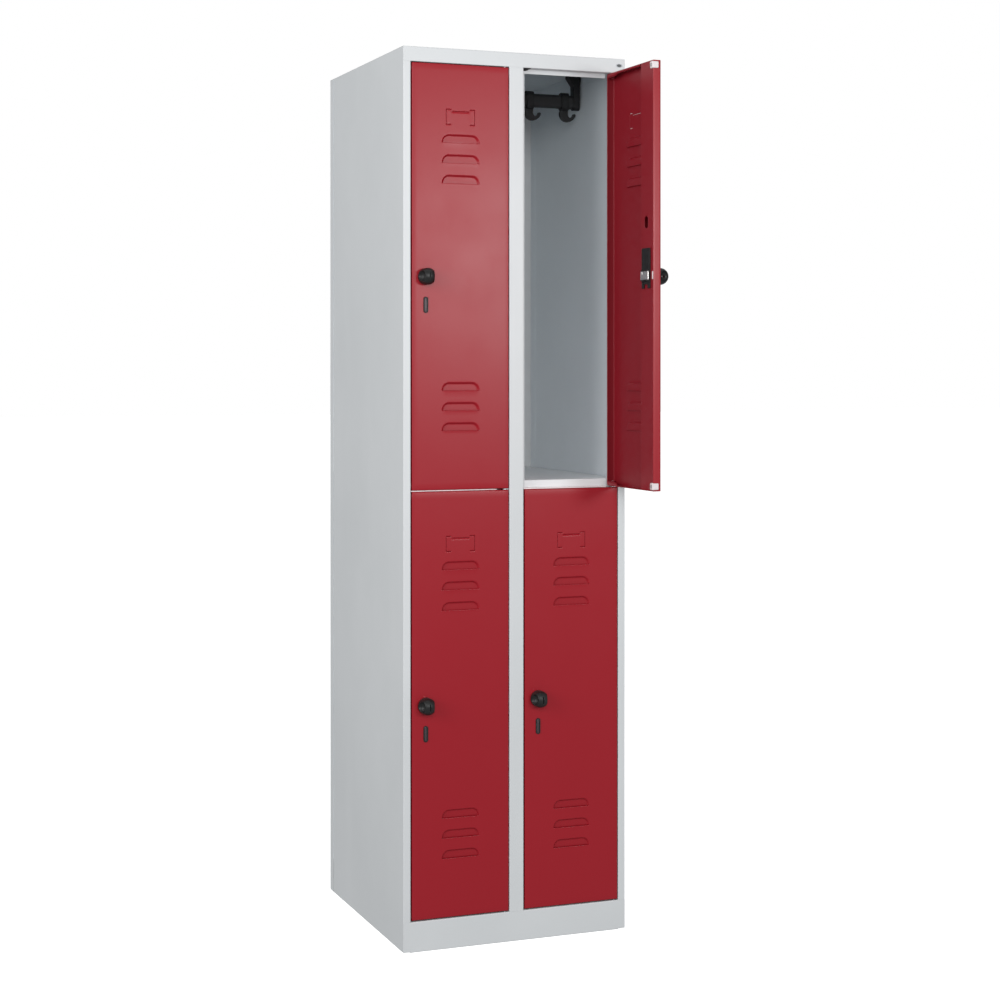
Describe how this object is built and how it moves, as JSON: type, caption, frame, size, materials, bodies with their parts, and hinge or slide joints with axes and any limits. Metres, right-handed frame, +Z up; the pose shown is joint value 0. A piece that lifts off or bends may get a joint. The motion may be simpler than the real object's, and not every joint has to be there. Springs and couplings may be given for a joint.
{
  "type": "school locker",
  "caption": "Freestanding steel locker with two columns of stacked compartments, louvred hinged doors with turn-knob padlock latches, coat bars and sliding hooks.",
  "frame": {"origin": "centre of the footprint on the floor", "axes": "+X to the locker's right seen from the front, +Y from the front to the back, +Z up"},
  "size_m": [0.4996, 0.6967, 1.8],
  "materials": {
    "body_paint": "light grey semi-gloss powder coat",
    "door_paint": "ruby red semi-gloss powder coat",
    "black_plastic": "moulded black nylon",
    "nickel_steel": "nickel-plated steel",
    "grey_steel": "dull zinc-plated steel",
    "zinc_steel": "zinc-plated steel",
    "bar_coat": "black coated tube",
    "buffer_plastic": "soft light grey plastic",
    "badge_metal": "blank stamped plate"
  },
  "bodies": {
    "root": {"side_panel_left": "body_paint", "side_panel_right": "body_paint", "back_panel": "body_paint", "top_panel": "body_paint", "plinth": "body_paint", "centre_post": "body_paint", "centre_partition": "body_paint", "floor_panel": "body_paint", "mid_shelf_left": "body_paint", "mid_shelf_right": "body_paint", "hinge_pins": "zinc_steel", "coat_bars": "bar_coat", "rail_brackets": "black_plastic", "badge_plate": "badge_metal"},
    "door_upper_left": {"door_skin_upper_left": "door_paint", "door_stiffener_upper_left": "door_paint", "lock_case_upper_left": "black_plastic", "door_bumpers_upper_left": "buffer_plastic", "hinge_bushes_upper_left": "black_plastic"},
    "knob_upper_left": {"knob_upper_left": "black_plastic"},
    "bolt_upper_left": {"bolt_upper_left": "nickel_steel"},
    "hasp_upper_left": {"hasp_blade_upper_left": "grey_steel"},
    "door_upper_right": {"door_skin_upper_right": "door_paint", "door_stiffener_upper_right": "door_paint", "lock_case_upper_right": "black_plastic", "door_bumpers_upper_right": "buffer_plastic", "hinge_bushes_upper_right": "black_plastic"},
    "knob_upper_right": {"knob_upper_right": "black_plastic"},
    "bolt_upper_right": {"bolt_upper_right": "nickel_steel"},
    "hasp_upper_right": {"hasp_blade_upper_right": "grey_steel"},
    "door_lower_left": {"door_skin_lower_left": "door_paint", "door_stiffener_lower_left": "door_paint", "lock_case_lower_left": "black_plastic", "door_bumpers_lower_left": "buffer_plastic", "hinge_bushes_lower_left": "black_plastic"},
    "knob_lower_left": {"knob_lower_left": "black_plastic"},
    "bolt_lower_left": {"bolt_lower_left": "nickel_steel"},
    "hasp_lower_left": {"hasp_blade_lower_left": "grey_steel"},
    "door_lower_right": {"door_skin_lower_right": "door_paint", "door_stiffener_lower_right": "door_paint", "lock_case_lower_right": "black_plastic", "door_bumpers_lower_right": "buffer_plastic", "hinge_bushes_lower_right": "black_plastic"},
    "knob_lower_right": {"knob_lower_right": "black_plastic"},
    "bolt_lower_right": {"bolt_lower_right": "nickel_steel"},
    "hasp_lower_right": {"hasp_blade_lower_right": "grey_steel"},
    "hook_upper_left_a": {"hook_upper_left_a": "black_plastic"},
    "hook_upper_left_b": {"hook_upper_left_b": "black_plastic"},
    "hook_upper_left_c": {"hook_upper_left_c": "black_plastic"},
    "hook_upper_right_a": {"hook_upper_right_a": "black_plastic"},
    "hook_upper_right_b": {"hook_upper_right_b": "black_plastic"},
    "hook_upper_right_c": {"hook_upper_right_c": "black_plastic"},
    "hook_lower_left_a": {"hook_lower_left_a": "black_plastic"},
    "hook_lower_left_b": {"hook_lower_left_b": "black_plastic"},
    "hook_lower_left_c": {"hook_lower_left_c": "black_plastic"},
    "hook_lower_right_a": {"hook_lower_right_a": "black_plastic"},
    "hook_lower_right_b": {"hook_lower_right_b": "black_plastic"},
    "hook_lower_right_c": {"hook_lower_right_c": "black_plastic"}
  },
  "joints": [
    {"name": "door_upper_left_hinge", "type": "hinge", "parent": "root", "child": "door_upper_left", "pos_m": [-0.0238, -0.2444, 1.34315], "axis": [0, 0, 1], "range_deg": [0, 110]},
    {"name": "knob_upper_left_turn", "type": "hinge", "parent": "door_upper_left", "child": "knob_upper_left", "pos_m": [-0.1955, -0.25, 1.34315], "axis": [0, -1, 0], "range_deg": [0, 90]},
    {"name": "bolt_upper_left_slide", "type": "slide", "parent": "door_upper_left", "child": "bolt_upper_left", "axis": [-1, 0, 0], "range_m": [0, 0.01]},
    {"name": "hasp_upper_left_slide", "type": "slide", "parent": "door_upper_left", "child": "hasp_upper_left", "axis": [0, -1, 0], "range_m": [0, 0.012]},
    {"name": "door_upper_right_hinge", "type": "hinge", "parent": "root", "child": "door_upper_right", "pos_m": [0.2187, -0.2444, 1.34315], "axis": [0, 0, 1], "range_deg": [-91, 19]},
    {"name": "knob_upper_right_turn", "type": "hinge", "parent": "door_upper_right", "child": "knob_upper_right", "pos_m": [0.2273, -0.41598, 1.34315], "axis": [0.9998, 0.0175, 0], "range_deg": [0, 90]},
    {"name": "bolt_upper_right_slide", "type": "slide", "parent": "door_upper_right", "child": "bolt_upper_right", "axis": [0.0175, -0.9998, 0], "range_m": [0, 0.01]},
    {"name": "hasp_upper_right_slide", "type": "slide", "parent": "door_upper_right", "child": "hasp_upper_right", "axis": [0.9998, 0.0175, 0], "range_m": [0, 0.012]},
    {"name": "door_lower_left_hinge", "type": "hinge", "parent": "root", "child": "door_lower_left", "pos_m": [-0.0238, -0.2444, 0.48885], "axis": [0, 0, 1], "range_deg": [0, 110]},
    {"name": "knob_lower_left_turn", "type": "hinge", "parent": "door_lower_left", "child": "knob_lower_left", "pos_m": [-0.1955, -0.25, 0.48885], "axis": [0, -1, 0], "range_deg": [0, 90]},
    {"name": "bolt_lower_left_slide", "type": "slide", "parent": "door_lower_left", "child": "bolt_lower_left", "axis": [-1, 0, 0], "range_m": [0, 0.01]},
    {"name": "hasp_lower_left_slide", "type": "slide", "parent": "door_lower_left", "child": "hasp_lower_left", "axis": [0, -1, 0], "range_m": [0, 0.012]},
    {"name": "door_lower_right_hinge", "type": "hinge", "parent": "root", "child": "door_lower_right", "pos_m": [0.2187, -0.2444, 0.48885], "axis": [0, 0, 1], "range_deg": [0, 110]},
    {"name": "knob_lower_right_turn", "type": "hinge", "parent": "door_lower_right", "child": "knob_lower_right", "pos_m": [0.047, -0.25, 0.48885], "axis": [0, -1, 0], "range_deg": [0, 90]},
    {"name": "bolt_lower_right_slide", "type": "slide", "parent": "door_lower_right", "child": "bolt_lower_right", "axis": [-1, 0, 0], "range_m": [0, 0.01]},
    {"name": "hasp_lower_right_slide", "type": "slide", "parent": "door_lower_right", "child": "hasp_lower_right", "axis": [0, -1, 0], "range_m": [0, 0.012]},
    {"name": "hook_upper_left_a_slide", "type": "slide", "parent": "root", "child": "hook_upper_left_a", "axis": [1, 0, 0], "range_m": [-0.007, 0.022]},
    {"name": "hook_upper_left_b_slide", "type": "slide", "parent": "root", "child": "hook_upper_left_b", "axis": [1, 0, 0], "range_m": [-0.022, 0.022]},
    {"name": "hook_upper_left_c_slide", "type": "slide", "parent": "root", "child": "hook_upper_left_c", "axis": [1, 0, 0], "range_m": [-0.022, 0.006]},
    {"name": "hook_upper_right_a_slide", "type": "slide", "parent": "root", "child": "hook_upper_right_a", "axis": [1, 0, 0], "range_m": [-0.007, 0.022]},
    {"name": "hook_upper_right_b_slide", "type": "slide", "parent": "root", "child": "hook_upper_right_b", "axis": [1, 0, 0], "range_m": [-0.022, 0.022]},
    {"name": "hook_upper_right_c_slide", "type": "slide", "parent": "root", "child": "hook_upper_right_c", "axis": [1, 0, 0], "range_m": [-0.022, 0.006]},
    {"name": "hook_lower_left_a_slide", "type": "slide", "parent": "root", "child": "hook_lower_left_a", "axis": [1, 0, 0], "range_m": [-0.007, 0.022]},
    {"name": "hook_lower_left_b_slide", "type": "slide", "parent": "root", "child": "hook_lower_left_b", "axis": [1, 0, 0], "range_m": [-0.022, 0.022]},
    {"name": "hook_lower_left_c_slide", "type": "slide", "parent": "root", "child": "hook_lower_left_c", "axis": [1, 0, 0], "range_m": [-0.022, 0.006]},
    {"name": "hook_lower_right_a_slide", "type": "slide", "parent": "root", "child": "hook_lower_right_a", "axis": [1, 0, 0], "range_m": [-0.007, 0.022]},
    {"name": "hook_lower_right_b_slide", "type": "slide", "parent": "root", "child": "hook_lower_right_b", "axis": [1, 0, 0], "range_m": [-0.022, 0.022]},
    {"name": "hook_lower_right_c_slide", "type": "slide", "parent": "root", "child": "hook_lower_right_c", "axis": [1, 0, 0], "range_m": [-0.022, 0.006]}
  ],
  "couplings": [
    {"joint": "bolt_upper_left_slide", "follows": "knob_upper_left_turn", "m_per_rad": 0.0063661},
    {"joint": "hasp_upper_left_slide", "follows": "knob_upper_left_turn", "m_per_rad": 0.0076394},
    {"joint": "bolt_upper_right_slide", "follows": "knob_upper_right_turn", "m_per_rad": 0.0063661},
    {"joint": "hasp_upper_right_slide", "follows": "knob_upper_right_turn", "m_per_rad": 0.0076394},
    {"joint": "bolt_lower_left_slide", "follows": "knob_lower_left_turn", "m_per_rad": 0.0063661},
    {"joint": "hasp_lower_left_slide", "follows": "knob_lower_left_turn", "m_per_rad": 0.0076394},
    {"joint": "bolt_lower_right_slide", "follows": "knob_lower_right_turn", "m_per_rad": 0.0063661},
    {"joint": "hasp_lower_right_slide", "follows": "knob_lower_right_turn", "m_per_rad": 0.0076394}
  ]
}
